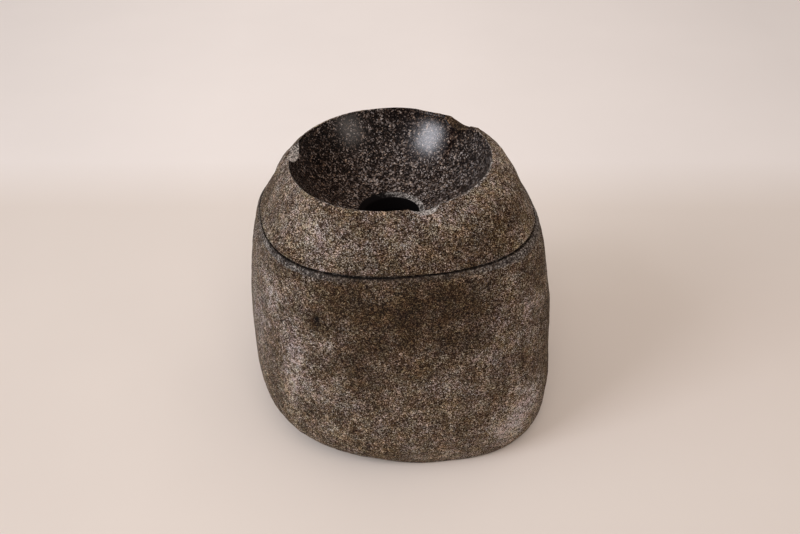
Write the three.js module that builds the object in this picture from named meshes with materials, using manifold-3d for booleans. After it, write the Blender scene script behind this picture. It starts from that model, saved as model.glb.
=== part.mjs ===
// Two-piece stone ashtray cut from one river cobble.
// The body is the lower part of the cobble, hollowed by a round chamber. The lid is the top of the
// cobble: a dish with a drop hole in its floor and three rests across its rim, and a round spigot
// under it that sits in the chamber's mouth.
// Millimetres, +Z up, front towards -Y. The origin is the foot of the chamber's axis on the base.

import * as THREE from 'three';
import { mergeVertices } from 'three/addons/utils/BufferGeometryUtils.js';
import Module from 'manifold-3d';

const wasm = await Module();
wasm.setup();

// ---- Driving dimensions ----

const SEAT_HEIGHT = 132;         // the body's flat joint face
const RIM_HEIGHT = 162.3;        // crest of the dish
const JOINT_GAP = 0.3;           // between the two ground joint faces

// The cobble's outline is a rounded square, turned a little and slightly lopsided.
const CORNER_EXPONENT = 2.5;     // 2 is an ellipse, larger is squarer
const CORNER_TURN = THREE.MathUtils.degToRad(8);
const TWO_LOBE = -0.016;         // sine of twice the angle
const THREE_LOBE_COS = -0.014;
const THREE_LOBE_SIN = -0.011;
const AROUND = 72;               // corners in every ring

// Sections of the body's natural skin, from the ground base up to the bevel under the joint.
const SKIN_SECTIONS = [
  { z: 0, x: 15.2, y: -3.2, halfWidth: 60.3, halfDepth: 65 },
  { z: 6, x: 8.5, y: -0.9, halfWidth: 72.2, halfDepth: 71.5 },
  { z: 12, x: 4.5, y: -0.3, halfWidth: 78, halfDepth: 75 },
  { z: 20, x: 1.3, y: -0.2, halfWidth: 82, halfDepth: 78 },
  { z: 30, x: 0.5, y: 0, halfWidth: 84.1, halfDepth: 79.2 },
  { z: 44, x: 0, y: 0.3, halfWidth: 85, halfDepth: 79.4 },
  { z: 79, x: 0.2, y: 0.2, halfWidth: 83.5, halfDepth: 78.4 },
  { z: 110, x: 0.3, y: 0.1, halfWidth: 79.6, halfDepth: 75.1 },
  { z: 129.5, x: 0.7, y: -0.1, halfWidth: 75.3, halfDepth: 71.1 },
];
const STEPS_PER_SECTION = 2;
const BODY_BEVEL = 1.7;          // how far the bevel brings the joint face in from the skin

const CHAMBER_RADIUS = 52.5;
const CHAMBER_FLOOR = 26;
const CHAMBER_CORNER = 22;       // radius between the chamber's wall and floor
const MOUTH_CHAMFER = 1.2;

const LID_EDGE = { x: 0.6, y: -1.4, halfWidth: 72.9, halfDepth: 67.5 };
const LID_EDGE_ROUNDING = 1.4;
const DOME_STEPS = 9;
const DOME_OVERRUN = 3;          // the uncut dome runs on past the rim, for the dish to cut through
const SHOULDER_IN = 9.4;         // where the dome's shoulder stands, in from the lid's edge
const SHOULDER_DOWN = 8.2;       // and down from the rim
const SHOULDER_IN_LEFT = 1.7;    // more on the left than on the right
const SHOULDER_IN_FRONT = 2.5;
const SHOULDER_DOWN_LEFT = 1.0;
const SHOULDER_DOWN_FRONT = 1.0;

const DISH_X = -1.4;             // the dish's axis, beside the chamber's
const DISH_RIM_RADIUS = 54.1;
const DISH_RADIUS = 58;          // radius of the sphere that the dish is part of
const DROP_HOLE_X = -2.1;
const DROP_HOLE_RADIUS = 15.4;
const DROP_HOLE_BEVEL = 2.6;
const DROP_HOLE_BEVEL_DEPTH = 1.6;
const DROP_HOLE_BACK_CHAMFER = 1;

const SPIGOT_RADIUS = 51;
const SPIGOT_BOTTOM = 117;
const SPIGOT_CHAMFER = 1.5;

// Each rest is a round groove across the rim, at an angle round the dish and a depth below the crest.
const RESTS = [
  { degrees: 168, depth: 5.5 },
  { degrees: 43.5, depth: 5.5 },
  { degrees: -72.5, depth: 3.3 },
];
const REST_RADIUS = 12;
const REST_REACH = 40;           // length of the cutter that makes a groove

// ---- Helpers ----

function ring(section, z, inset = 0) {
  const points = [];
  for (let i = 0; i < AROUND; i += 1) {
    const angle = (i / AROUND) * 2 * Math.PI;
    const c = Math.cos(angle - CORNER_TURN);
    const s = Math.sin(angle - CORNER_TURN);
    const x = Math.sign(c) * Math.abs(c) ** (2 / CORNER_EXPONENT);
    const y = Math.sign(s) * Math.abs(s) ** (2 / CORNER_EXPONENT);
    const lopsided = 1 + TWO_LOBE * Math.sin(2 * angle)
      + THREE_LOBE_COS * Math.cos(3 * angle) + THREE_LOBE_SIN * Math.sin(3 * angle);
    const turnedX = x * Math.cos(CORNER_TURN) - y * Math.sin(CORNER_TURN);
    const turnedY = x * Math.sin(CORNER_TURN) + y * Math.cos(CORNER_TURN);
    points.push(new THREE.Vector3(
      section.x + (section.halfWidth - inset) * turnedX * lopsided,
      section.y + (section.halfDepth - inset) * turnedY * lopsided,
      z,
    ));
  }
  return points;
}

// A closed solid through a stack of rings, with a flat fan over each end.
function loft(rings) {
  const points = rings.flat();
  const foot = points.length;
  const crown = foot + 1;
  for (const end of [rings[0], rings[rings.length - 1]]) {
    const centre = new THREE.Vector3();
    end.forEach((point) => centre.add(point));
    points.push(centre.divideScalar(end.length));
  }
  const faces = [];
  const top = (rings.length - 1) * AROUND;
  for (let i = 0; i < AROUND; i += 1) {
    const next = (i + 1) % AROUND;
    faces.push(foot, next, i);
    faces.push(crown, top + i, top + next);
    for (let level = 0; level < top; level += AROUND) {
      faces.push(level + i, level + next, level + AROUND + next);
      faces.push(level + i, level + AROUND + next, level + AROUND + i);
    }
  }
  const geometry = new THREE.BufferGeometry().setFromPoints(points);
  geometry.setIndex(faces);
  return geometry;
}

// A turned shape from [radius, height] corners that start and end on the axis, lowest first.
function turned(corners, segments = AROUND) {
  const profile = corners.map(([radius, height]) => new THREE.Vector2(radius, height));
  return new THREE.LatheGeometry(profile, segments).rotateX(Math.PI / 2);
}

function solid(geometry) {
  const bare = geometry.clone();
  bare.deleteAttribute('normal');
  bare.deleteAttribute('uv');
  const welded = mergeVertices(bare, 1e-4);
  const corners = welded.index.array;
  const faces = [];
  for (let i = 0; i < corners.length; i += 3) {
    const [a, b, c] = corners.slice(i, i + 3);
    // A lathe leaves empty triangles on its axis.
    if (a !== b && b !== c && c !== a) {
      faces.push(a, b, c);
    }
  }
  return new wasm.Manifold(new wasm.Mesh({
    numProp: 3,
    vertProperties: new Float32Array(welded.attributes.position.array),
    triVerts: new Uint32Array(faces),
  }));
}

function geometryOf(manifold) {
  const mesh = manifold.getMesh();
  const geometry = new THREE.BufferGeometry();
  geometry.setAttribute('position', new THREE.BufferAttribute(mesh.vertProperties, 3));
  geometry.setIndex(new THREE.BufferAttribute(mesh.triVerts, 1));
  geometry.computeVertexNormals();
  return geometry;
}

// ---- Body ----

function bodySkin() {
  const places = SKIN_SECTIONS.map(({ x, y, z }) => new THREE.Vector3(x, y, z));
  const sizes = SKIN_SECTIONS.map((section) => (
    new THREE.Vector3(section.halfWidth, section.halfDepth, section.z)
  ));
  const place = new THREE.CatmullRomCurve3(places, false, 'catmullrom');
  const size = new THREE.CatmullRomCurve3(sizes, false, 'catmullrom');
  const steps = (SKIN_SECTIONS.length - 1) * STEPS_PER_SECTION;
  const rings = [];
  for (let step = 0; step <= steps; step += 1) {
    const { x, y, z } = place.getPoint(step / steps);
    const half = size.getPoint(step / steps);
    rings.push(ring({ x, y, halfWidth: half.x, halfDepth: half.y }, z));
  }
  rings.push(ring(SKIN_SECTIONS[SKIN_SECTIONS.length - 1], SEAT_HEIGHT, BODY_BEVEL));
  return loft(rings);
}

function chamber() {
  const corner = new THREE.EllipseCurve(
    CHAMBER_RADIUS - CHAMBER_CORNER, CHAMBER_FLOOR + CHAMBER_CORNER,
    CHAMBER_CORNER, CHAMBER_CORNER, -Math.PI / 2, 0,
  );
  return turned([
    [0, CHAMBER_FLOOR],
    ...corner.getPoints(8).map((point) => point.toArray()),
    [CHAMBER_RADIUS, SEAT_HEIGHT - MOUTH_CHAMFER],
    [CHAMBER_RADIUS + 2 * MOUTH_CHAMFER, SEAT_HEIGHT + MOUTH_CHAMFER],
    [0, SEAT_HEIGHT + MOUTH_CHAMFER],
  ]);
}

// ---- Lid ----

function dome() {
  const bottom = SEAT_HEIGHT + JOINT_GAP;
  const edgeTop = bottom + LID_EDGE_ROUNDING;
  const edge = ring(LID_EDGE, edgeTop);
  const curves = edge.map((start, i) => {
    const angle = (i / AROUND) * 2 * Math.PI;
    const rim = new THREE.Vector3(
      DISH_X + DISH_RIM_RADIUS * Math.cos(angle),
      DISH_RIM_RADIUS * Math.sin(angle),
      RIM_HEIGHT,
    );
    const inwards = new THREE.Vector3(rim.x - start.x, rim.y - start.y, 0).normalize();
    const shoulderIn = SHOULDER_IN - SHOULDER_IN_LEFT * Math.cos(angle)
      - SHOULDER_IN_FRONT * Math.sin(angle);
    const shoulderDown = SHOULDER_DOWN - SHOULDER_DOWN_LEFT * Math.cos(angle)
      - SHOULDER_DOWN_FRONT * Math.sin(angle);
    const shoulder = start.clone().addScaledVector(inwards, shoulderIn);
    shoulder.z = RIM_HEIGHT - shoulderDown;
    return new THREE.QuadraticBezierCurve3(start, shoulder, rim);
  });
  const rings = [ring(LID_EDGE, bottom, LID_EDGE_ROUNDING)];
  for (let step = 0; step <= DOME_STEPS; step += 1) {
    rings.push(curves.map((curve) => curve.getPoint(step / DOME_STEPS)));
  }
  rings.push(curves.map((curve) => (
    curve.getPoint(1).addScaledVector(curve.getTangent(1), DOME_OVERRUN)
  )));
  return loft(rings);
}

function spigot() {
  return turned([
    [0, SPIGOT_BOTTOM],
    [SPIGOT_RADIUS - SPIGOT_CHAMFER, SPIGOT_BOTTOM],
    [SPIGOT_RADIUS, SPIGOT_BOTTOM + SPIGOT_CHAMFER],
    [SPIGOT_RADIUS, SEAT_HEIGHT + 2 * LID_EDGE_ROUNDING],
    [0, SEAT_HEIGHT + 2 * LID_EDGE_ROUNDING],
  ]);
}

const dishCentreHeight = RIM_HEIGHT
  + Math.sqrt(DISH_RADIUS ** 2 - DISH_RIM_RADIUS ** 2);

function dish() {
  return new THREE.SphereGeometry(DISH_RADIUS, AROUND, AROUND / 2)
    .rotateX(Math.PI / 2)
    .translate(DISH_X, 0, dishCentreHeight);
}

function dropHole() {
  const bevelRadius = DROP_HOLE_RADIUS + DROP_HOLE_BEVEL;
  const bevelTop = dishCentreHeight - Math.sqrt(DISH_RADIUS ** 2 - bevelRadius ** 2);
  const slope = DROP_HOLE_BEVEL / DROP_HOLE_BEVEL_DEPTH;
  const backRadius = DROP_HOLE_RADIUS + 2 * DROP_HOLE_BACK_CHAMFER;
  return turned([
    [0, SPIGOT_BOTTOM - DROP_HOLE_BACK_CHAMFER],
    [backRadius, SPIGOT_BOTTOM - DROP_HOLE_BACK_CHAMFER],
    [DROP_HOLE_RADIUS, SPIGOT_BOTTOM + DROP_HOLE_BACK_CHAMFER],
    [DROP_HOLE_RADIUS, bevelTop - DROP_HOLE_BEVEL_DEPTH],
    [bevelRadius + slope * DROP_HOLE_BEVEL_DEPTH, bevelTop + DROP_HOLE_BEVEL_DEPTH],
    [0, bevelTop + DROP_HOLE_BEVEL_DEPTH],
  ], 48).translate(DROP_HOLE_X, 0, 0);
}

function rest({ degrees, depth }) {
  const angle = THREE.MathUtils.degToRad(degrees);
  return new THREE.CylinderGeometry(REST_RADIUS, REST_RADIUS, REST_REACH, 48)
    .rotateZ(Math.PI / 2)
    .translate(DISH_RIM_RADIUS, 0, RIM_HEIGHT - depth + REST_RADIUS)
    .rotateZ(angle)
    .translate(DISH_X, 0, 0);
}

function lidShape() {
  let shape = solid(dome()).add(solid(spigot()));
  shape = shape.subtract(solid(dish())).subtract(solid(dropHole()));
  for (const placed of RESTS) {
    shape = shape.subtract(solid(rest(placed)));
  }
  return geometryOf(shape);
}

// ---- Assembly ----

const bodyStone = new THREE.MeshStandardMaterial({ color: 0x6b6259, roughness: 0.9, metalness: 0 });
const lidStone = new THREE.MeshStandardMaterial({ color: 0x6e665e, roughness: 0.85, metalness: 0 });

const ashtray = new THREE.Group();

const body = new THREE.Mesh(geometryOf(solid(bodySkin()).subtract(solid(chamber()))), bodyStone);
body.name = 'stone_body';
ashtray.add(body);

const lid = new THREE.Mesh(lidShape(), lidStone);
lid.name = 'stone_lid';
ashtray.add(lid);

export default ashtray;
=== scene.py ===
import math

import bpy
import numpy as np
from mathutils import Matrix, Vector, noise
from mathutils.bvhtree import BVHTree


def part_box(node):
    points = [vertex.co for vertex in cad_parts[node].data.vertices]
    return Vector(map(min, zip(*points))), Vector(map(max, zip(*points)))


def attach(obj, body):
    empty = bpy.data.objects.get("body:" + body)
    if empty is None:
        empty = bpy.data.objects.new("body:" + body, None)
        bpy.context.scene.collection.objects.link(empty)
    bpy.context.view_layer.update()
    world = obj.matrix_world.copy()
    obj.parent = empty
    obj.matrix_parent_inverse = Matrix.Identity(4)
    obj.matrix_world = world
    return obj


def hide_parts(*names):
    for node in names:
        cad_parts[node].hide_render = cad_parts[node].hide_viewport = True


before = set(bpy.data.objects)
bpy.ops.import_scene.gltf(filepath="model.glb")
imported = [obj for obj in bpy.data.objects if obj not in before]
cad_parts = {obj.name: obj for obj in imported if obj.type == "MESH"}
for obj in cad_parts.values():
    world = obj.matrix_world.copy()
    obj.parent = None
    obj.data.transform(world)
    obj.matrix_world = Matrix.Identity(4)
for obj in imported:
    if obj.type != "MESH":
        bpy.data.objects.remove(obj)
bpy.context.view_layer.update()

# The looks of a two-piece stone ashtray cut from one river cobble.
# Each piece is one closed sweep of rings. The natural skin starts from the outline of its CAD node,
# and the dish, hole, rests, chamber and joint faces are made from the sizes below.
# Lengths are millimetres until a mesh is written, in metres. Angles are degrees round +Z from +X.

MM = 0.001
AROUND = 448                 # points in every ring
ANGLES = np.linspace(0, 2 * math.pi, AROUND, endpoint=False)
COS = np.cos(ANGLES)
SIN = np.sin(ANGLES)
FAR = 400.0                  # further out than any face, for rays that look inwards
CORNER = 0.15                # half-width of the small flat left on each machined corner
SMOOTHING = 2.6              # degrees over which an outline read from the CAD is smoothed
SEAT_CLEAR = 0.02            # how far from a joint face its outline is read

# ---- Sizes of the machined faces ----

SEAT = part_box("stone_body")[1].z / MM          # height of the body's flat joint face
JOINT_GAP = 0.3
LID_SEAT = SEAT + JOINT_GAP                    # and of the lid's
RIM = 162.3                                    # crest of the dish
SKIN_TOP = SEAT - 2.5                          # the body's last level of skin below its joint face
SKIN_LEVELS = 112
LEVEL_POWER = 1.35                             # brings levels closer together near the base
FIRST_LEVEL = 3                                # those below are left out, which rounds the base's edge
BASE_INSET = 0.7                               # how far in from the outline the flat base ends
BASE_MIDDLE = 0.06                             # its innermost ring, as a share of the outline
LOWEST_READ = 0.05                             # the lowest height at which the outline is read

CHAMBER_RADIUS = 52.5
CHAMBER_FLOOR = 26.0
CHAMBER_CORNER = 22.0
CHAMBER_MIDDLE = 1.5                           # radius of the last ring on its floor
MOUTH_CHAMFER = 1.2

DISH_X = -1.4
DISH_RIM_RADIUS = 54.1
DISH_RADIUS = 58.0
DISH_CENTRE = RIM + math.sqrt(DISH_RADIUS ** 2 - DISH_RIM_RADIUS ** 2)
DISH_AXIS = np.array([DISH_X, 0.0])
HOLE_AXIS = np.array([-2.1, 0.0])
HOLE_RADIUS = 15.4
HOLE_BEVEL = 2.6
HOLE_BEVEL_DEPTH = 1.6
HOLE_BACK_CHAMFER = 1.0

SPIGOT_RADIUS = 51.0
SPIGOT_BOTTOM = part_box("stone_lid")[0].z / MM
SPIGOT_CHAMFER = 1.5
LID_EDGE_ROUNDING = 1.4

RESTS = ((168.0, 5.5), (43.5, 5.5), (-72.5, 3.3))   # angle round the dish, depth below the crest
REST_RADIUS = 12.0
REST_WEATHERED = 57.5                          # from here outwards a rest looks like natural skin
REST_SPREAD = 12.0                             # degrees to each side that a rest takes from the crest
BLEND = 0.35                                   # how softly the crest and the rests' edges are rounded

# The kinds of surface. Each piece has a material for each kind that it shows.
NATURAL, POLISHED, GROUND = range(3)


# ---- Reading the CAD outline ----

def tree_of(node):
    """A CAD node's faces, in millimetres, ready for rays."""
    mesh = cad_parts[node].data
    points = [vertex.co / MM for vertex in mesh.vertices]
    faces = [tuple(polygon.vertices) for polygon in mesh.polygons]
    return BVHTree.FromPolygons(points, faces)


def outline(tree, axis, heights):
    """How far the outermost face is from an upright axis: one row for each height."""
    radii = np.empty((len(heights), AROUND))
    for level, height in enumerate(heights):
        for i in range(AROUND):
            outwards = Vector((COS[i], SIN[i], 0))
            start = Vector((axis[0], axis[1], height)) + FAR * outwards
            radii[level, i] = FAR - tree.ray_cast(start, -outwards)[3]
    return radii


def smooth_round(values, degrees):
    """Gaussian smoothing round the ring."""
    harmonics = np.arange(AROUND // 2 + 1)
    kept = np.exp(-0.5 * (harmonics * math.radians(degrees)) ** 2)
    return np.fft.irfft(np.fft.rfft(values) * kept, AROUND)


def smooth_upwards(values, steps):
    """Gaussian smoothing from level to level that keeps the first and last levels."""
    reach = 3 * steps
    kernel = np.exp(-0.5 * (np.arange(-reach, reach + 1) / steps) ** 2)
    kernel /= kernel.sum()
    below = 2 * values[0] - values[reach:0:-1]
    above = 2 * values[-1] - values[-2:-reach - 2:-1]
    padded = np.concatenate([below, values, above])
    rows = len(values)
    return sum(weight * padded[k:k + rows] for k, weight in enumerate(kernel))


def across_rests(radii):
    """Carries the skin's outline straight across the places that the rests cut away."""
    degrees = np.degrees(ANGLES)
    kept = np.ones(AROUND, bool)
    for angle, _ in RESTS:
        away = np.abs((degrees - angle + 180) % 360 - 180)
        kept &= away > REST_SPREAD
    return np.array([np.interp(ANGLES, ANGLES[kept], row[kept], period=2 * math.pi) for row in radii])


# ---- Rings and sweeps ----

def circle(radius, height, axis=(0.0, 0.0)):
    """One ring of points. The radius and the height may vary round it."""
    points = np.empty((AROUND, 3))
    points[:, 0] = axis[0] + radius * COS
    points[:, 1] = axis[1] + radius * SIN
    points[:, 2] = height
    return points


class Sweep:
    """Rings joined by bands, each band with its kind of surface."""

    def __init__(self, first):
        self.rings = [first]
        self.bands = []

    def to(self, ring, kind, steps=1):
        """Carries the surface on to a ring, straight and in equal steps."""
        last = self.rings[-1]
        for step in range(1, steps + 1):
            self.rings.append(last + (ring - last) * step / steps)
            self.bands.append(kind)


def ring_normals(rings, closed):
    """Outward unit normals of a stack of rings."""
    round_way = np.roll(rings, -1, axis=1) - np.roll(rings, 1, axis=1)
    if closed:
        along = np.roll(rings, -1, axis=0) - np.roll(rings, 1, axis=0)
    else:
        along = np.gradient(rings, axis=0)
    normals = np.cross(round_way, along)
    return normals / np.maximum(np.linalg.norm(normals, axis=2, keepdims=True), 1e-9)


def soft_lower(first, second, width):
    """The lower of two heights, rounded where they cross."""
    share = np.clip(0.5 + 0.5 * (second - first) / width, 0, 1)
    return second + (first - second) * share - width * share * (1 - share)


def make_mesh(name, rings, bands, closed, materials):
    """A closed mesh. An open stack of rings gets a point in the middle of each end."""
    levels = len(rings)
    points = rings.reshape(-1, 3)
    here = np.arange(AROUND)
    after = (here + 1) % AROUND
    faces = []
    kinds = []
    for level, kind in enumerate(bands):
        low = level * AROUND
        high = ((level + 1) % levels) * AROUND
        quads = np.stack([low + here, low + after, high + after, high + here], axis=1)
        faces.extend(quads.tolist())
        kinds.extend([kind] * AROUND)
    if not closed:
        foot = len(points)
        points = np.concatenate([points, [rings[0].mean(axis=0)], [rings[-1].mean(axis=0)]])
        top = (levels - 1) * AROUND
        faces.extend([foot, int(after[i]), int(i)] for i in here)
        faces.extend([foot + 1, int(top + i), int(top + after[i])] for i in here)
        kinds.extend([bands[0]] * AROUND + [bands[-1]] * AROUND)
    mesh = bpy.data.meshes.new(name)
    mesh.from_pydata((points * MM).tolist(), [], faces)
    for material in materials.values():
        mesh.materials.append(material)
    slots = {kind: slot for slot, kind in enumerate(materials)}
    mesh.polygons.foreach_set("material_index", [slots[kind] for kind in kinds])
    mesh.polygons.foreach_set("use_smooth", [True] * len(faces))
    mesh.update()
    piece = bpy.data.objects.new(name, mesh)
    bpy.context.scene.collection.objects.link(piece)
    return piece


# ---- The stone's own surface ----

def skin_relief(points):
    """How far the natural skin stands out from the smooth outline, in millimetres."""
    relief = np.empty(len(points))
    for i, point in enumerate(points):
        at = Vector(point)
        swell = 0.30 * noise.noise(at / 30)
        lumps = 0.26 * noise.noise(at / 10 + Vector((7, 1, 3)))
        pebbling = 0.24 * noise.noise(at / 3.2)
        distances, nearest = noise.voronoi(at / 5.5)
        pit = 0.0
        if noise.noise(nearest[0] * 3.1) > 0.12:
            pit = 0.5 * max(0.0, 1 - distances[0] / 0.32) ** 1.5
        relief[i] = swell + lumps + pebbling - pit
    return relief


def ground_relief(points):
    """The faint unevenness that grinding leaves."""
    return np.array([0.05 * noise.noise(Vector(point) / 5) for point in points])


def weights_of(bands, kind, closed, fade):
    """How much each ring belongs to a kind of surface: 1 inside its bands, fading over a few rings."""
    own = np.array([band == kind for band in bands], float)
    if closed:
        ring = np.minimum(own, np.roll(own, 1))
    else:
        ring = np.minimum(np.append(own, own[-1]), np.insert(own, 0, own[0]))
    for _ in range(fade):
        before = np.roll(ring, 1)
        later = np.roll(ring, -1)
        ring = np.minimum(ring, 0.5 * ring + 0.25 * (before + later))
    return ring


# Places that are paler, browner or dirty: angle, height, half-width in degrees, half-height, amount.
# They reach every face at that angle and height, so the brown ones on the body stain the spigot too.
PALE_MARKS = (
    (-147, 107, 5, 13, 1.0),
    (-132, 83, 5, 13, 1.2),
    (-135, 64, 5, 14, 1.05),
    (-126, 64, 4, 11, 0.7),
    (-119, 93, 7, 9, 0.45),
    (-160, 85, 16, 50, 0.62),
    (-116, 54, 12, 9, 0.45),
    (-98, 34, 12, 7, 0.45),
    (-92, 66, 7, 6, 0.45),
    (-76, 68, 10, 8, 0.5),
    (-60, 80, 6, 6, 0.5),
    (-41, 38, 9, 14, 1.5),
    (-50, 21, 9, 12, 1.4),
    (-38, 88, 12, 22, 0.45),
    (-132, 148, 16, 7, 0.8),
    (-112, 144, 14, 8, 0.45),
    (-88, 154, 14, 5, 0.35),
    (-72, 159, 9, 4, 0.8),
    (168, 158, 12, 6, 0.6),
)
BROWN_MARKS = (
    (-104, 118, 15, 14, 1.0),
    (-84, 115, 14, 14, 1.2),
    (-66, 118, 12, 11, 0.9),
    (-92, 94, 12, 10, 0.45),
    (-70, 94, 10, 10, 0.4),
    (-122, 104, 8, 10, 0.7),
    (-82, 76, 10, 8, 0.5),
    (-112, 76, 10, 14, 0.5),
    (-24, 70, 14, 60, 0.5),
    (-40, 145, 26, 12, 0.45),
    (-105, 154, 7, 6, 0.5),
    (-92, 142, 20, 12, 0.3),
    (44, 157, 9, 8, 1.0),
    (60, 161, 26, 5, 1.0),
    (44, 148, 3, 8, 0.8),
    (160, 143, 34, 13, 0.6),
)
DIRTY_MARKS = (
    (46, 158, 5, 5, 0.62),
)
# Places where only the skin swells a little, or sinks: the same, with the amount in millimetres.
SWELLS = (
    (2, 118, 30, 13, 0.9),
    (-10, 50, 26, 18, -1.3),
    (-165, 16, 24, 10, 0.9),
    (-136, 9, 22, 7, 0.7),
    (-96, 6, 26, 7, -0.5),
    (-40, 9, 20, 7, 0.3),
    (-4, 152, 30, 5, 0.6),
    (4, 141, 30, 5, -0.7),
    (180, 143, 26, 5, -0.7),
    (180, 152, 26, 5, 0.9),
)
SPOT = (-123, 106, 1.9)       # one small dark pit in the body's skin: angle, height, radius
SPOT_DEPTH = 1.1
PALEST = 1.7                  # the most that pale marks add up to
FAR_GAP = 3.0                 # gaps to a ground face are stored up to this


def placed(points, marks):
    """The sum of the placed marks at each point."""
    degrees = np.degrees(np.arctan2(points[:, 1], points[:, 0]))
    total = np.zeros(len(points))
    for angle, height, half_width, half_height, amount in marks:
        away = (degrees - angle + 180) % 360 - 180
        total += amount * np.exp(-(away / half_width) ** 2 - ((points[:, 2] - height) / half_height) ** 2)
    return total


def windows(marks):
    """Sum of smooth windows round the ring, each an angle, a half-width in degrees and an amount."""
    degrees = np.degrees(ANGLES)
    total = np.zeros(AROUND)
    for angle, half_width, amount in marks:
        away = (degrees - angle + 180) % 360 - 180
        total += amount * np.exp(-(away / half_width) ** 4)
    return total


def add_attribute(piece, name, values):
    """Stores one number for each point. The middle points of the ends get 0."""
    padded = np.zeros(len(piece.data.vertices), np.float32)
    padded[:len(values)] = values
    attribute = piece.data.attributes.new(name, "FLOAT", "POINT")
    attribute.data.foreach_set("value", padded)


# ---- Body ----

# The bevel under the joint is steeper, and so wider, on the right and at the front left.
BEVEL_SLOPE = 0.75                        # how far it goes in for each millimetre up
BEVEL_WIDE = ((-22, 28, 0.24), (-140, 24, 0.14))   # angle, half-width in degrees, how much less that is
SEAM_STRIP = 1.2                          # how far in the joint face looks like skin and can take painted shade


def bevel_radius(seat_edge, height):
    """Where the bevel under the joint cuts the body's skin."""
    return seat_edge + (SEAT - height) * (BEVEL_SLOPE - windows(BEVEL_WIDE))


def body_sweep():
    tree = tree_of("stone_body")
    steps = np.linspace(0, 1, SKIN_LEVELS)
    heights = SKIN_TOP * steps ** LEVEL_POWER
    read = np.maximum(heights, LOWEST_READ)
    radii = smooth_round(outline(tree, (0, 0), read), SMOOTHING)
    radii = smooth_upwards(radii, 3)
    seat_edge = smooth_round(outline(tree, (0, 0), [SEAT - SEAT_CLEAR])[0], SMOOTHING)

    sweep = Sweep(circle(radii[0] * BASE_MIDDLE, 0.0))
    sweep.to(circle(radii[0] - BASE_INSET, 0.0), GROUND, steps=20)
    for level in range(FIRST_LEVEL, SKIN_LEVELS):
        cut = bevel_radius(seat_edge, heights[level])
        sweep.to(circle(soft_lower(radii[level], cut, BLEND), heights[level]), NATURAL)
    sweep.to(circle(seat_edge + CORNER, SEAT - 2 * CORNER), NATURAL, steps=3)
    sweep.to(circle(seat_edge - CORNER, SEAT), NATURAL)
    sweep.to(circle(seat_edge - SEAM_STRIP, SEAT), NATURAL)

    mouth = CHAMBER_RADIUS + MOUTH_CHAMFER
    sweep.to(circle(mouth + CORNER, SEAT), GROUND, steps=9)
    sweep.to(circle(mouth - CORNER, SEAT - CORNER), GROUND)
    sweep.to(circle(CHAMBER_RADIUS, SEAT - MOUTH_CHAMFER), GROUND, steps=2)
    corner_height = CHAMBER_FLOOR + CHAMBER_CORNER
    sweep.to(circle(CHAMBER_RADIUS, corner_height), GROUND, steps=26)
    turns = 16
    for step in range(1, turns + 1):
        turn = 0.5 * math.pi * step / turns
        radius = CHAMBER_RADIUS - CHAMBER_CORNER * (1 - math.cos(turn))
        sweep.to(circle(radius, corner_height - CHAMBER_CORNER * math.sin(turn)), GROUND)
    sweep.to(circle(CHAMBER_MIDDLE, CHAMBER_FLOOR), GROUND, steps=10)

    gaps = [bevel_radius(seat_edge, ring[0, 2]) - np.hypot(ring[:, 0], ring[:, 1]) for ring in sweep.rings]
    return sweep, np.concatenate(gaps)


# ---- Lid ----

def dish_height(x, y):
    """Height of the polished dish."""
    below = DISH_RADIUS ** 2 - (x - DISH_X) ** 2 - y ** 2
    return DISH_CENTRE - np.sqrt(np.maximum(below, 1.0))


def rest_height(x, y):
    """Height of the floor of the rests' round grooves, far above the lid where there is no groove."""
    lowest = np.full_like(x, FAR)
    for degrees, depth in RESTS:
        angle = math.radians(degrees)
        along = (x - DISH_X) * math.cos(angle) + y * math.sin(angle)
        aside = y * math.cos(angle) - (x - DISH_X) * math.sin(angle)
        below = np.sqrt(np.maximum(REST_RADIUS ** 2 - aside ** 2, 0.0))
        floor = RIM - depth + REST_RADIUS - below
        inside = (along > 0) & (np.abs(aside) < REST_RADIUS)
        lowest = np.where(inside, np.minimum(lowest, floor), lowest)
    return lowest


# Where the dome stands lower near its crest than the CAD outline, or higher where the amount is negative,
# and where the crest is worn flat: angle, half-width in degrees, millimetres.
LOW_PLACES = (
    (62, 9, 0.8),
    (22, 24, 0.6),
    (43, 7.5, 5.0),
    (-135, 28, 0.5),
    (-83, 7, -0.5),
    (130, 24, -0.9),
    (95, 18, -0.4),
)
LOW_REACH = 14.0              # how far down the dome that goes
LOWEST_CREST = 1.2            # the most that a low place takes off the crest itself
WORN_PLACES = ((-42, 28, 0.45),)
CREST_SLOPE = 0.85            # slope of the uncut rings that are lowered to the dish


def crest_wear():
    """How far the crest is worn down round the ring: a little everywhere, chips, and the worn places."""
    wear = np.empty(AROUND)
    for i in range(AROUND):
        at = Vector((DISH_RIM_RADIUS * COS[i], DISH_RIM_RADIUS * SIN[i], RIM))
        chips = max(0.0, noise.noise(at / 3.1) - 0.25)
        wear[i] = 0.05 + 0.15 * abs(noise.noise(at / 8)) + chips
    return wear + windows(WORN_PLACES)


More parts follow.
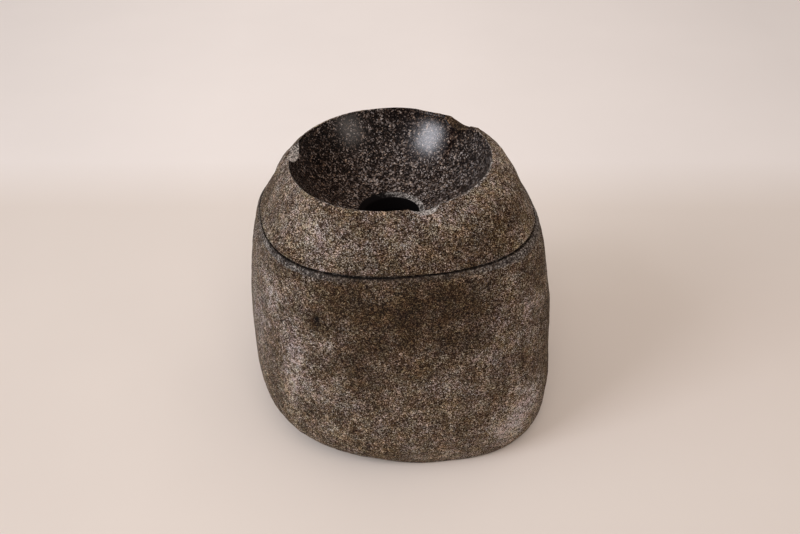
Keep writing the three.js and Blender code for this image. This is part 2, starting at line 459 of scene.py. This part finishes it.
def lid_sweep():
    tree = tree_of("stone_lid")
    edge_top = LID_SEAT + LID_EDGE_ROUNDING    # where the rounded lower edge ends and the dome starts
    # Levels up the dome, and closer ones just below its crest.
    dome = np.linspace(edge_top, RIM - 2.4, 34)
    below_crest = np.linspace(RIM - 2.1, RIM - 0.05, 8)
    heights = np.concatenate([dome, below_crest])
    radii = across_rests(outline(tree, DISH_AXIS, heights))
    radii = smooth_upwards(smooth_round(radii, SMOOTHING), 2)
    seat_edge = smooth_round(outline(tree, (0, 0), [LID_SEAT + SEAT_CLEAR])[0], SMOOTHING)

    low = windows(LOW_PLACES)
    crest = RIM - np.minimum(low, LOWEST_CREST) - crest_wear()

    def cut(ring):
        """Lowers the dome to the dish, the rests and the worn crest."""
        x = ring[:, 0]
        y = ring[:, 1]
        near_crest = np.clip(1 - (RIM - ring[:, 2]) / LOW_REACH, 0, 1)
        top = ring[:, 2] - low * near_crest ** 1.5
        top = soft_lower(top, dish_height(x, y), BLEND)
        top = soft_lower(top, rest_height(x, y), BLEND)
        ring[:, 2] = soft_lower(top, crest, BLEND)
        return ring

    sweep = Sweep(cut(circle(radii[0], heights[0], DISH_AXIS)))
    for level in range(1, len(heights)):
        sweep.to(cut(circle(radii[level], heights[level], DISH_AXIS)), NATURAL)

    # The dish, from its crest to the bevel of the drop hole, whose axis is a little to the left.
    bevel_edge = HOLE_RADIUS + HOLE_BEVEL
    beside_crest = np.linspace(0, 0.17, 14)
    inner = np.linspace(0.19, 1, 44)
    for share in np.concatenate([beside_crest, inner]):
        radius = DISH_RIM_RADIUS + (bevel_edge + CORNER - DISH_RIM_RADIUS) * share
        uncut = RIM + CREST_SLOPE * (DISH_RIM_RADIUS - radius)
        axis = DISH_AXIS + (HOLE_AXIS - DISH_AXIS) * share
        sweep.to(cut(circle(radius, uncut, axis)), POLISHED)

    bevel_top = DISH_CENTRE - math.sqrt(DISH_RADIUS ** 2 - bevel_edge ** 2)
    bevel_foot = bevel_top - HOLE_BEVEL_DEPTH
    back_radius = HOLE_RADIUS + HOLE_BACK_CHAMFER
    slope = HOLE_BEVEL_DEPTH / HOLE_BEVEL
    sweep.to(circle(HOLE_RADIUS + CORNER, bevel_foot + CORNER * slope, HOLE_AXIS), GROUND, steps=3)
    sweep.to(circle(HOLE_RADIUS, bevel_foot - CORNER, HOLE_AXIS), GROUND)
    sweep.to(circle(HOLE_RADIUS, SPIGOT_BOTTOM + HOLE_BACK_CHAMFER, HOLE_AXIS), GROUND, steps=6)
    sweep.to(circle(back_radius, SPIGOT_BOTTOM, HOLE_AXIS), GROUND, steps=2)
    sweep.to(circle(SPIGOT_RADIUS - SPIGOT_CHAMFER, SPIGOT_BOTTOM), GROUND, steps=16)
    sweep.to(circle(SPIGOT_RADIUS, SPIGOT_BOTTOM + SPIGOT_CHAMFER), GROUND, steps=2)
    sweep.to(circle(SPIGOT_RADIUS, LID_SEAT), GROUND, steps=8)
    sweep.to(circle(seat_edge - CORNER, LID_SEAT), GROUND, steps=8)
    # The lower edge rounds up to the first ring of the dome, which closes the sweep.
    first = sweep.rings[0]
    last = sweep.rings[-1]
    turns = 3
    for step in range(1, turns):
        turn = 0.5 * math.pi * step / turns
        ring = last + (first - last) * math.sin(turn)
        ring[:, 2] = LID_SEAT + LID_EDGE_ROUNDING * (1 - math.cos(turn))
        sweep.to(ring, NATURAL)
    sweep.bands.append(NATURAL)

    gaps = []
    for ring in sweep.rings:
        out = np.hypot(ring[:, 0] - DISH_X, ring[:, 1])
        weathered = np.maximum(out - REST_WEATHERED, 0)
        gaps.append(np.minimum(rest_height(ring[:, 0], ring[:, 1]) + weathered, crest) - ring[:, 2])
    return sweep, np.concatenate(gaps)


# ---- Making a piece ----

SKIN_RELIEF_FADE = 1.2        # how far from a ground face the skin's relief is at its full height
SKIN_RELIEF_LEAST = 0.15      # and its share on the ground face itself
SKIN_STARTS = 70.0            # the skin beside the small pit is further from the axis than this
SPOT_STRETCH = 0.6            # makes the small pit taller than wide
SEAM_SPREAD = 0.48            # how far up and down from the joint the painted shade reaches at the right
SEAM_SPREAD_LEFT = 0.40       # and how much further at the left
# Strength of the painted shade along the joint line between lid and body
SEAM_SHADE = 0.74
# How much the small pit is blackened
SPOT_DARKENING = 0.9


def spot_share(points, radius):
    """1 in the middle of the small dark pit, falling to 0 outside it."""
    angle, height, size = SPOT
    aside = radius * np.sin(np.arctan2(points[:, 1], points[:, 0]) - math.radians(angle))
    up = SPOT_STRETCH * (points[:, 2] - height)
    return np.exp(-(aside ** 2 + up ** 2) / size ** 2) * (radius > SKIN_STARTS)


def shade_and_dirt_on(points, radius, beside_skin):
    """Painted shade in the joint line, a painted shadow on the left of the hole's bevel, the drop hole
    blackened, and dirt in the placed marks.
    """
    leftness = 0.5 - 0.5 * points[:, 0] / np.maximum(radius, 1)
    spread = SEAM_SPREAD + SEAM_SPREAD_LEFT * leftness
    from_joint = points[:, 2] - (SEAT + 0.5 * JOINT_GAP)
    # Painted shade along the joint line, where the lid meets the body.
    seam = np.exp(-(from_joint / spread) ** 2) * beside_skin
    from_hole = np.hypot(points[:, 0] - HOLE_AXIS[0], points[:, 1])
    lid_heights = points[:, 2] > SPIGOT_BOTTOM
    # The drop hole is blackened.
    hole = lid_heights * (from_hole < HOLE_RADIUS + 0.1)
    # Painted shadow on the left, shadowed side of the hole's bevel.
    bevel = lid_heights * (from_hole < HOLE_RADIUS + HOLE_BEVEL + 0.3) * leftness
    return SEAM_SHADE * seam + np.maximum(hole, bevel) + placed(points, DIRTY_MARKS)


def make_piece(name, swept, closed, materials, body, node):
    """Roughens a sweep's surface, writes its mesh and ties it to the frame."""
    sweep, gaps = swept
    rings = np.array(sweep.rings)
    points = rings.reshape(-1, 3)
    radius = np.hypot(points[:, 0], points[:, 1])
    normals = ring_normals(rings, closed).reshape(-1, 3)
    natural = np.repeat(weights_of(sweep.bands, NATURAL, closed, 2), AROUND)
    natural *= np.clip(gaps / SKIN_RELIEF_FADE, SKIN_RELIEF_LEAST, 1)
    ground = np.repeat(weights_of(sweep.bands, GROUND, closed, 0), AROUND)
    skin = np.array([band == NATURAL for band in sweep.bands])
    if closed:
        beside_skin = skin | np.roll(skin, 1)
    else:
        beside_skin = np.append(skin, False) | np.insert(skin, 0, False)

    spot = spot_share(points, radius) * natural
    relief = natural * (skin_relief(points) + placed(points, SWELLS)) + ground * ground_relief(points)
    relief -= SPOT_DEPTH * spot
    moved = points + normals * relief[:, None]
    moved[:, 2] = np.maximum(moved[:, 2], 0.0)
    piece = make_mesh(name, moved.reshape(rings.shape), sweep.bands, closed, materials)

    # Painted shade in the joint line and on the hole's bevel, the blackened hole and pit, and dirt.
    shade_and_dirt_amount = shade_and_dirt_on(points, radius, np.repeat(beside_skin, AROUND)) + SPOT_DARKENING * spot
    add_attribute(piece, "pale", np.clip(placed(points, PALE_MARKS), 0, PALEST))
    add_attribute(piece, "brown", np.clip(placed(points, BROWN_MARKS) + spot, 0, 1))
    add_attribute(piece, "shade_and_grime", np.clip(shade_and_dirt_amount, 0, 1))
    add_attribute(piece, "gap", np.clip(gaps, -FAR_GAP, FAR_GAP))
    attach(piece, body)
    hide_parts(node)
    return piece


# ---- Materials ----

class Graph:
    """A material's node tree, with a short call for each kind of node used here."""

    def __init__(self, name):
        self.material = bpy.data.materials.new(name)
        self.material.use_nodes = True
        self.tree = self.material.node_tree
        self.tree.nodes.clear()
        self.place = self.add("TexCoord").outputs["Object"]

    def add(self, kind, inputs=None, **settings):
        node = self.tree.nodes.new("ShaderNode" + kind)
        for name, value in settings.items():
            setattr(node, name, value)
        for key, value in (inputs or {}).items():
            if isinstance(value, bpy.types.NodeSocket):
                self.tree.links.new(value, node.inputs[key])
            else:
                node.inputs[key].default_value = value
        return node

    def noise(self, size, detail=3.0, roughness=0.55):
        """Soft noise with features about size millimetres across."""
        inputs = {"Vector": self.place, "Scale": 1 / (size * MM), "Detail": detail, "Roughness": roughness}
        return self.add("TexNoise", inputs).outputs[0]

    def crystals(self, size):
        """Crystals about size millimetres across: distance from the middle, and three random numbers."""
        cells = self.add("TexVoronoi", {"Vector": self.place, "Scale": 1 / (size * MM)})
        parts = self.add("SeparateColor", {"Color": cells.outputs["Color"]})
        return cells.outputs["Distance"], parts.outputs[0], parts.outputs[1], parts.outputs[2]

    def maths(self, operation, first, second=0.0):
        return self.add("Math", {0: first, 1: second}, operation=operation).outputs[0]

    def total(self, start, *terms):
        """start plus each (value, weight) pair."""
        result = start
        for value, weight in terms:
            inputs = {0: value, 1: weight, 2: result}
            result = self.add("Math", inputs, operation="MULTIPLY_ADD").outputs[0]
        return result

    def remap(self, value, low, high, to_low=0.0, to_high=1.0):
        """Value taken from low..high to to_low..to_high, and held at both ends."""
        inputs = {"Value": value, "From Min": low, "From Max": high, "To Min": to_low, "To Max": to_high}
        return self.add("MapRange", inputs).outputs[0]

    def ramp(self, value, stops):
        """A colour ramp through (position, (r, g, b)) stops."""
        node = self.add("ValToRGB", {"Fac": value})
        elements = node.color_ramp.elements
        while len(elements) < len(stops):
            elements.new(1.0)
        for element, (position, colour) in zip(elements, stops):
            element.position = position
            element.color = (*colour, 1.0)
        return node.outputs["Color"]

    def mix(self, share, first, second, blend_type="MIX"):
        """Mixes two colours."""
        inputs = {0: share, 6: first, 7: second}
        node = self.add("Mix", inputs, data_type="RGBA", blend_type=blend_type, clamp_factor=True)
        return node.outputs[2]

    def scale_colour(self, colour, amount):
        return self.add("VectorMath", {0: colour, "Scale": amount}, operation="SCALE").outputs[0]

    def attribute(self, name):
        return self.add("Attribute", attribute_name=name).outputs["Fac"]

    def coordinates(self):
        """The point's X, Y and Z in metres."""
        return self.add("SeparateXYZ", {"Vector": self.place}).outputs

    def bump(self, height, depth, strength=1.0):
        """Depth is the height's full range in millimetres."""
        inputs = {"Height": height, "Distance": depth * MM, "Strength": strength}
        return self.add("Bump", inputs).outputs["Normal"]

    def surface(self, **inputs):
        shader = self.add("BsdfPrincipled", {key.replace("_", " "): value for key, value in inputs.items()})
        return shader.outputs[0]

    def output(self, surface):
        self.add("OutputMaterial", {"Surface": surface})
        return self.material

    def finish(self, **inputs):
        return self.output(self.surface(**inputs))


def skin_colour(g, bias):
    """River-worn skin: chocolate brown to pinkish grey, as grain, mottling and placed marks decide."""
    _, grain, hue, pick = g.crystals(0.43)
    pale = g.attribute("pale")
    brown = g.attribute("brown")
    # The placed pale marks, with drifting patches and flecks of their own, broken up by ragged gaps.
    ragged = g.remap(g.noise(3.6, 4.0, 0.72), 0.38, 0.60)
    drift = g.remap(g.noise(13, 5.0, 0.7), 0.52, 0.66)
    flecks = g.remap(g.noise(3.8, 5.0, 0.75), 0.58, 0.70)
    shown = g.total(pale, (drift, 0.28), (flecks, 0.55))
    patch = g.maths("MULTIPLY", shown, g.remap(ragged, 0.0, 1.0, 0.35, 1.0))
    lowness = g.remap(g.coordinates()["Z"], 0.02, 0.09, 1.0, 0.0)
    value = g.total(
        bias,
        (grain, 0.98),
        (g.noise(0.28, 2.0, 0.6), 0.98),
        (g.noise(2.6, 4.0, 0.70), 0.86),
        (g.noise(13, 3.0), 0.36),
        (g.noise(30, 2.0), 0.30),
        (patch, 0.30),
        (brown, -0.24),
    )
    colour = g.ramp(value, (
        (0.00, (0.007, 0.004, 0.003)),
        (0.30, (0.026, 0.015, 0.009)),
        (0.50, (0.074, 0.047, 0.029)),
        (0.68, (0.150, 0.109, 0.078)),
        (0.84, (0.285, 0.232, 0.195)),
        (1.00, (0.600, 0.530, 0.480)),
    ))
    # Cold grey to warm brown, then olive to rust.
    warmth = g.total(
        -1.46,
        (g.noise(9, 4.0, 0.6), 1.9),
        (g.noise(1.9, 3.0, 0.6), 1.7),
        (patch, -0.45),
        (brown, 0.25),
        (lowness, 0.14),
        (hue, 0.32),
    )
    tint = g.ramp(warmth, (
        (0.0, (0.95, 0.98, 1.14)),
        (0.5, (1.0, 1.0, 0.98)),
        (1.0, (1.07, 0.98, 0.75)),
    ))
    colour = g.mix(1.0, colour, tint, "MULTIPLY")
    redness = g.remap(g.noise(5, 3.0, 0.6), 0.40, 0.62)
    olive_to_rust = g.mix(redness, (0.96, 1.015, 0.96, 1.0), (1.055, 0.975, 0.94, 1.0))
    colour = g.mix(1.0, colour, olive_to_rust, "MULTIPLY")
    # A few rusty crystals, and a few larger cream ones.
    rusty = g.maths("GREATER_THAN", pick, 0.98)
    colour = g.mix(g.maths("MULTIPLY", rusty, 0.45), colour, (0.26, 0.15, 0.07, 1.0))
    middle, chosen, _, _ = g.crystals(2.0)
    cream = g.maths("MULTIPLY", g.remap(middle, 0.34, 0.20), g.maths("GREATER_THAN", chosen, 0.975))
    return g.mix(g.maths("MULTIPLY", cream, 0.6), colour, (0.36, 0.27, 0.19, 1.0))


def ground_colour(g, bias):
    """Ground stone: grey, evenly speckled, and stained brown in places."""
    _, grain, _, _ = g.crystals(0.7)
    brown = g.attribute("brown")
    value = g.total(
        bias,
        (grain, 1.0),
        (g.noise(0.40, 2.0, 0.6), 0.95),
        (g.noise(4, 4.0, 0.65), 0.55),
        (brown, -0.3),
        (g.attribute("pale"), 0.2),
    )
    colour = g.ramp(value, (
        (0.00, (0.010, 0.008, 0.008)),
        (0.35, (0.045, 0.040, 0.038)),
        (0.65, (0.140, 0.128, 0.120)),
        (1.00, (0.500, 0.480, 0.460)),
    ))
    return g.mix(brown, colour, (1.0, 0.72, 0.48, 1.0), "MULTIPLY")


def blacken_shade_and_dirt(g, colour):
    """Blackens what the shade_and_grime attribute marks, with a ragged edge: painted shade in the joint
    line and on the hole's bevel, the drop hole, the small pit and dirt.
    """
    shade_and_grime = g.remap(g.total(g.attribute("shade_and_grime"), (g.noise(2.2, 4.0, 0.7), 0.8)), 0.70, 1.15)
    return g.mix(shade_and_grime, colour, (0.004, 0.003, 0.003, 1.0))


def ground_share(g):
    """1 on the faces that were ground into the natural skin, with a slightly ragged edge."""
    gap = g.total(g.attribute("gap"), (g.noise(1.2, 3.0, 0.6), 0.5))
    return g.remap(gap, 0.45, 0.25)


def natural_stone(name, bias, ground_bias):
    """Rough matt skin with pores, dirt and painted shade, and grey where a face was ground into it."""
    g = Graph(name)
    pits, chosen, _, _ = g.crystals(2.4)
    pores = g.maths("MULTIPLY", g.remap(pits, 0.20, 0.10), g.maths("GREATER_THAN", chosen, 0.72))
    colour = skin_colour(g, bias)
    colour = g.mix(g.maths("MULTIPLY", pores, 0.75), colour, (0.010, 0.007, 0.005, 1.0))
    share = ground_share(g)
    colour = g.mix(share, colour, ground_colour(g, ground_bias))
    # Blackened where painted shade or dirt is marked.
    colour = blacken_shade_and_dirt(g, colour)
    height = g.total(0.0, (g.noise(0.8, 3.0, 0.7), 1.0), (g.noise(2.6, 3.0, 0.6), 0.8), (pores, -0.5))
    rough = g.remap(g.noise(2.4, 3.0), 0.3, 0.7, 0.72, 0.92)
    normal = g.bump(height, 0.36, 0.8)
    return g.finish(
        Base_Color=colour, Roughness=rough, Diffuse_Roughness=1.0, Specular_IOR_Level=0.15, Normal=normal
    )


# A brown vein runs down the dish from its back right rest, through VEIN_POINT. Past it the polish is dull.
VEIN_POINT = (36.0, 34.5)
VEIN_NORMAL = (0.921, -0.389)  # the direction across it
VEIN_END = 22.0               # how far back the vein's lower end is
VEIN_FADE = 12.0              # and over what distance it fades in from there


def past_vein(g, wander):
    """How many millimetres a point lies past the vein, and whether it is far enough back to meet it."""
    place = g.coordinates()
    past = g.total(
        -(VEIN_POINT[0] * VEIN_NORMAL[0] + VEIN_POINT[1] * VEIN_NORMAL[1]),
        (place["X"], VEIN_NORMAL[0] / MM),
        (place["Y"], VEIN_NORMAL[1] / MM),
        (wander, 3.0),
    )
    return past, g.remap(place["Y"], VEIN_END * MM, (VEIN_END + VEIN_FADE) * MM)


def polished_stone(name, bias, ground_bias):
    """The dish: near-black matrix with pale crystals, with painted light making it a little paler to the
    right and lower down.
    """
    g = Graph(name)
    _, grain, hue, _ = g.crystals(0.72)
    past, reach = past_vein(g, g.noise(2.5))
    vein = g.maths("MULTIPLY", g.remap(g.maths("ABSOLUTE", past), 1.8, 0.4), reach)
    dull = g.remap(past, 0.0, 1.5)
    brown = g.maths("MAXIMUM", g.attribute("brown"), vein)
    place = g.coordinates()
    depth = g.remap(place["Z"], 0.150, 0.130)
    value = g.total(
        bias,
        (grain, 1.24),
        (g.noise(0.38, 3.0, 0.7), 1.24),
        (g.noise(4.4, 4.0, 0.68), 1.18),
        # Painted light and shade: paler lower in the dish and to the right, darker on the left.
        (depth, 0.16),
        (place["X"], 0.95),
        (brown, -0.10),
    )
    # Low in the dish the grain is evener: its values are drawn towards a middle one.
    towards_middle = g.total(0.60, (value, -1.0))
    value = g.total(value, (g.maths("MULTIPLY", depth, towards_middle), 0.28))
    colour = g.ramp(value, (
        (0.00, (0.002, 0.001, 0.001)),
        (0.35, (0.012, 0.007, 0.005)),
        (0.55, (0.036, 0.025, 0.020)),
        (0.72, (0.090, 0.070, 0.061)),
        (0.86, (0.175, 0.148, 0.135)),
        (1.00, (0.380, 0.335, 0.310)),
    ))
    tint = g.ramp(hue, ((0.0, (0.95, 1.0, 1.08)), (0.6, (1.0, 1.0, 1.0)), (1.0, (1.14, 0.97, 0.80))))
    colour = g.mix(1.0, colour, tint, "MULTIPLY")
    colour = g.mix(g.maths("MULTIPLY", brown, 0.5), colour, (1.0, 0.70, 0.45, 1.0), "MULTIPLY")
    share = ground_share(g)
    # Blackened where painted shade or dirt is marked.
    colour = blacken_shade_and_dirt(g, g.mix(share, colour, ground_colour(g, ground_bias)))
    # The soft gloss is gone where the stone is ground or stained, and nearly so past the vein.
    polish = g.remap(g.noise(1.0, 3.0, 0.7), 0.3, 0.7, 0.20, 0.30)
    rough = g.total(polish, (share, 0.55), (dull, 0.12))
    unpolished = g.maths("MAXIMUM", g.maths("MAXIMUM", share, brown), g.maths("MULTIPLY", dull, 0.8))
    gloss = g.remap(unpolished, 0.0, 1.0, 0.9, 0.12)
    normal = g.bump(g.noise(0.7, 3.0, 0.7), 0.03, 0.5)
    return g.finish(Base_Color=colour, Roughness=rough, Specular_IOR_Level=gloss, Normal=normal)


def ground_stone(name, bias):
    """Sawn, cored and ground faces: matt and evenly speckled, with faint tool marks round them."""
    g = Graph(name)
    # Blackened where painted shade, the drop hole or dirt is marked.
    colour = blacken_shade_and_dirt(g, ground_colour(g, bias))
    marks = g.add("CombineXYZ", {"Z": g.coordinates()["Z"]})
    stripes = g.add("TexNoise", {"Vector": marks.outputs[0], "Scale": 900.0, "Detail": 2.0}).outputs[0]
    height = g.total(0.0, (g.noise(0.8, 3.0, 0.7), 1.0), (stripes, 0.6))
    normal = g.bump(height, 0.16, 0.7)
    return g.finish(Base_Color=colour, Roughness=0.78, Specular_IOR_Level=0.15, Normal=normal)


# ---- Stage, lights and camera ----

SOFTBOX_TINT = (0.93, 0.92, 1.0)
DAYLIGHT_TINT = (0.70, 0.92, 1.0)
ROOM_TINT = (1.0, 0.885, 0.81, 1.0)
SEEN_TINT = (0.76, 0.675, 0.63, 1.0)
FLOOR_COLOUR = (0.79, 0.727, 0.675, 1.0)
# Painted light: the back of the floor is made lighter, like a backdrop's lit fold.
LIT_BACK_COLOUR = (0.88, 0.835, 0.81, 1.0)
FLOOR_RADIUS = 3.0            # metres
HORIZON_STARTS = 0.9          # metres from the object to where the floor starts to fade into the room
HORIZON_ENDS = 2.6            # and to where it has faded
FILL_LEVEL = 0.16             # the room's light from the horizon and below
FILL_ZENITH = 0.76            # and from straight above
FILL_MIRRORED = 0.03          # what polished stone mirrors of it
LIGHTS_AIM = Vector((0, 0, 0.1))   # metres
CAMERA_PLACE = (0.001012, -0.514502, 0.460663)   # metres
CAMERA_TILT = 54.1464         # degrees up from straight down
CAMERA_LEAN = -2.7463


def make_floor():
    """A plain pale floor: painted light makes it lighter at the back, painted shade darker towards the
    front and the sides, and it is lost in the room far away.
    """
    bpy.ops.mesh.primitive_circle_add(vertices=96, radius=FLOOR_RADIUS, fill_type="NGON")
    floor = bpy.context.object
    floor.name = "floor"
    g = Graph("floor_paper")
    place = g.coordinates()
    # Painted light at the back of the floor.
    back = g.remap(g.total(place["Y"], (place["X"], 0.093)), 0.20, 0.27)
    colour = g.mix(back, FLOOR_COLOUR, LIT_BACK_COLOUR)
    # Painted shade towards the front and towards the sides.
    front_shade = g.remap(place["Y"], -0.25, 0.25, 0.94, 1.0)
    side_shade = g.remap(g.maths("ABSOLUTE", g.total(0.05, (place["X"], 1.0))), 0.10, 0.42, 1.0, 0.84)
    colour = g.scale_colour(colour, g.maths("MULTIPLY", front_shade, side_shade))
    colour = g.scale_colour(colour, g.remap(g.noise(160, 3.0), 0.3, 0.7, 0.985, 1.015))
    paper = g.surface(Base_Color=colour, Roughness=0.85)
    horizon = g.add("Emission", {"Color": SEEN_TINT}).outputs[0]
    away = g.add("VectorMath", {0: g.place}, operation="LENGTH").outputs["Value"]
    far = g.remap(away, HORIZON_STARTS, HORIZON_ENDS)
    mixed = g.add("MixShader", {0: far, 1: paper, 2: horizon}).outputs[0]
    floor.data.materials.append(g.output(mixed))


def soft_light(name, tint, direction, distance, size, power, mirrored):
    """A rectangular softbox that faces the object, in metres and watts. Polish may mirror it or not."""
    data = bpy.data.lights.new(name, "AREA")
    data.shape = "RECTANGLE"
    data.size, data.size_y = size
    data.energy = power
    data.color = tint
    light = bpy.data.objects.new(name, data)
    towards = Vector(direction).normalized()
    light.location = LIGHTS_AIM + towards * distance
    light.rotation_euler = towards.to_track_quat("Z", "Y").to_euler()
    light.visible_glossy = mirrored
    bpy.context.scene.collection.objects.link(light)


def make_world():
    """Pale where the camera sees it, dim in reflections, and otherwise soft light, mostly from above."""
    world = bpy.data.worlds.new("room")
    bpy.context.scene.world = world
    world.use_nodes = True
    nodes = world.node_tree.nodes
    links = world.node_tree.links
    nodes.clear()

    def add(kind, **inputs):
        node = nodes.new("ShaderNode" + kind)
        for key, value in inputs.items():
            if isinstance(value, bpy.types.NodeSocket):
                links.new(value, node.inputs[key.replace("_", " ")])
            else:
                node.inputs[key.replace("_", " ")].default_value = value
        return node.outputs[0]

    direction = nodes.new("ShaderNodeTexCoord").outputs["Generated"]
    split = nodes.new("ShaderNodeSeparateXYZ")
    links.new(direction, split.inputs[0])
    overhead = add("MapRange", Value=split.outputs["Z"], To_Min=FILL_LEVEL, To_Max=FILL_ZENITH)
    path = nodes.new("ShaderNodeLightPath")
    seen = add("Background", Color=SEEN_TINT, Strength=1.0)
    fill = add("Background", Color=ROOM_TINT, Strength=overhead)
    dim = add("Background", Color=ROOM_TINT, Strength=FILL_MIRRORED)
    first = nodes.new("ShaderNodeMixShader")
    second = nodes.new("ShaderNodeMixShader")
    for mixer, share, low, high in (
        (first, path.outputs["Is Glossy Ray"], fill, dim),
        (second, path.outputs["Is Camera Ray"], first.outputs[0], seen),
    ):
        links.new(share, mixer.inputs[0])
        links.new(low, mixer.inputs[1])
        links.new(high, mixer.inputs[2])
    output = nodes.new("ShaderNodeOutputWorld")
    links.new(second.outputs[0], output.inputs["Surface"])


def make_camera():
    """A 50 mm lens in front of the object, looking 36 degrees down and leaning 3 degrees."""
    data = bpy.data.cameras.new("camera")
    data.lens = 50.0
    data.sensor_width = 36.0
    camera = bpy.data.objects.new("camera", data)
    place = Matrix.Translation(CAMERA_PLACE)
    tilt = Matrix.Rotation(math.radians(CAMERA_TILT), 4, "X")
    lean = Matrix.Rotation(math.radians(CAMERA_LEAN), 4, "Z")
    camera.matrix_world = place @ tilt @ lean
    bpy.context.scene.collection.objects.link(camera)
    bpy.context.scene.camera = camera


# ---- Putting it together ----

# A higher bias makes a lighter stone.
body_materials = {
    NATURAL: natural_stone("body_skin", bias=-1.325, ground_bias=-0.83),
    GROUND: ground_stone("body_ground", bias=-0.67),
}
lid_materials = {
    NATURAL: natural_stone("lid_skin", bias=-1.25, ground_bias=-0.65),
    POLISHED: polished_stone("lid_polish", bias=-1.545, ground_bias=-0.57),
    GROUND: ground_stone("lid_ground", bias=-0.67),
}
make_piece("ashtray_body", body_sweep(), False, body_materials, "body", "stone_body")
make_piece("ashtray_lid", lid_sweep(), True, lid_materials, "lid", "stone_lid")

make_floor()
make_world()
soft_light("key", SOFTBOX_TINT, (-0.69, -0.42, 0.59), 3.2, (1.20, 1.50), 38.0, mirrored=True)
soft_light("side", DAYLIGHT_TINT, (-0.92, -0.20, 0.34), 4.0, (2.4, 2.4), 34.0, mirrored=False)
soft_light("front", ROOM_TINT[:3], (0.06, -0.68, 0.76), 4.0, (2.4, 2.4), 50.0, mirrored=False)
soft_light("fill", ROOM_TINT[:3], (0.68, -0.57, 0.47), 3.2, (1.15, 1.50), 6.0, mirrored=True)
make_camera()
bpy.context.scene.view_settings.view_transform = "Standard"
